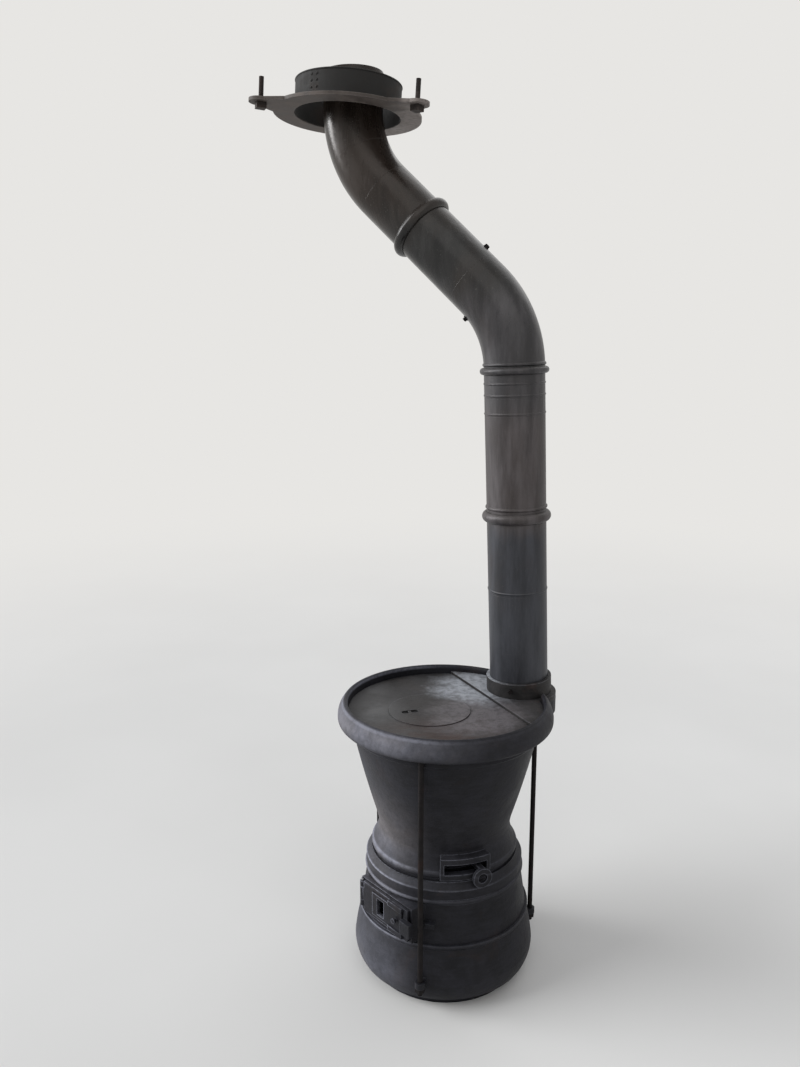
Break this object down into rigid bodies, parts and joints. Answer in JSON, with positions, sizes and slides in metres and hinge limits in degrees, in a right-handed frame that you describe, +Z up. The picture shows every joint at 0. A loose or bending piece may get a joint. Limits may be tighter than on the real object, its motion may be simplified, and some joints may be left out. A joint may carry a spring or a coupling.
{
  "type": "caboose coal stove with smoke pipe",
  "caption": "Cast-iron railway caboose coal stove with ash door, draft slide, shaker grate and lid; its bent smoke pipe rises to a ceiling ring.",
  "frame": {"origin": "on the floor, on the axis of the stove's round body", "axes": "+Z up; +X towards the wall behind the stove, where the flue collar is; -X towards the aisle; +Y along the car"},
  "size_m": [0.7371, 0.854, 2.2903],
  "materials": {
    "castings": "matt, dusty, worn on the beads",
    "top_iron": "matt, heat-browned",
    "stovepipe": "satin dark sheet steel",
    "ring_iron": "matt, sooty",
    "bolt_steel": "dark, rusty",
    "rod_steel": "dark steel",
    "sleeve_steel": "matt, sooty"
  },
  "bodies": {
    "stove": {"base": "castings", "floor_plate": "castings", "ash_section": "castings", "waist_ring": "castings", "fire_pot": "castings", "top_rim": "castings", "top_plate": "top_iron", "flue_casting": "top_iron", "door_pin": "rod_steel", "pipe_lower": "stovepipe", "pipe_middle": "stovepipe", "pipe_upper": "stovepipe", "pipe_adapter": "stovepipe", "elbow_foot": "stovepipe", "lower_elbow": "stovepipe", "oblique_pipe": "stovepipe", "oblique_band": "stovepipe", "oblique_end": "stovepipe", "upper_elbow": "stovepipe", "elbow_head": "stovepipe", "pipe_top": "stovepipe", "ceiling_ring": "ring_iron", "ring_bolts": "bolt_steel", "roof_sleeve": "sleeve_steel", "sleeve_spider": "sleeve_steel", "tie_rods": "rod_steel", "rod_nuts": "rod_steel"},
    "ash_door": {"ash_door": "castings"},
    "draft_slide": {"draft_slide": "castings"},
    "grate": {"grate": "castings"},
    "lid": {"lid": "top_iron"}
  },
  "joints": [
    {"name": "ash_door_hinge", "type": "hinge", "parent": "stove", "child": "ash_door", "pos_m": [-0.22702, -0.02117, 0.235], "axis": [0, 0, -1], "range_deg": [0, 110]},
    {"name": "draft_slide_run", "type": "slide", "parent": "ash_door", "child": "draft_slide", "axis": [-0.4067, 0.9135, 0], "range_m": [0, 0.028]},
    {"name": "grate_shake", "type": "hinge", "parent": "stove", "child": "grate", "pos_m": [0, 0, 0.336], "axis": [0, 0, 1], "range_deg": [-20, 0]},
    {"name": "lid_lift", "type": "slide", "parent": "stove", "child": "lid", "axis": [0, 0, 1], "range_m": [0, 0.12]}
  ]
}
